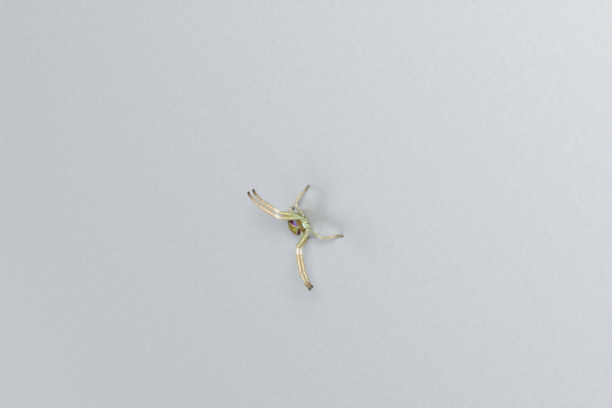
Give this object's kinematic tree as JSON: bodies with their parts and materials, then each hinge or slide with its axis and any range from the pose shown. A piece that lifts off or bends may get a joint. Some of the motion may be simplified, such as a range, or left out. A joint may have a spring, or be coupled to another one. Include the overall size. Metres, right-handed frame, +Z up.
{
  "type": "crab spider",
  "caption": "Life-size still model of a pale female crab spider, front legs raised and spread wide, hind legs standing.",
  "frame": {"origin": "on the floor, under the middle of the box round the whole spider", "axes": "+Z up, head towards -Y, +X to the spider's own left"},
  "size_m": [0.0252, 0.0144, 0.0121],
  "materials": {
    "shell": "satin",
    "femur": "satin",
    "tibia": "satin",
    "arm_tip": "satin",
    "hind_tip": "satin",
    "abdomen": "satin",
    "eye": "gloss"
  },
  "bodies": {
    "root": {"abdomen": "abdomen", "cephalothorax": "shell", "chelicera_left": "shell", "chelicera_right": "shell", "eye_back_middle_left": "eye", "eye_back_middle_right": "eye", "eye_back_side_left": "eye", "eye_back_side_right": "eye", "eye_front_middle_left": "eye", "eye_front_middle_right": "eye", "eye_front_side_left": "eye", "eye_front_side_right": "eye", "leg1_left_femur": "femur", "leg1_left_tarsus": "arm_tip", "leg1_left_tibia": "tibia", "leg1_right_femur": "femur", "leg1_right_tarsus": "arm_tip", "leg1_right_tibia": "tibia", "leg2_left_femur": "femur", "leg2_left_tarsus": "arm_tip", "leg2_left_tibia": "tibia", "leg2_right_femur": "femur", "leg2_right_tarsus": "arm_tip", "leg2_right_tibia": "tibia", "leg3_left_femur": "femur", "leg3_left_tarsus": "hind_tip", "leg3_left_tibia": "tibia", "leg3_right_femur": "femur", "leg3_right_tarsus": "hind_tip", "leg3_right_tibia": "tibia", "leg4_left_femur": "femur", "leg4_left_tarsus": "hind_tip", "leg4_left_tibia": "tibia", "leg4_right_femur": "femur", "leg4_right_tarsus": "hind_tip", "leg4_right_tibia": "tibia", "palp_left": "shell", "palp_right": "shell", "spinnerets": "abdomen"}
  },
  "joints": []
}
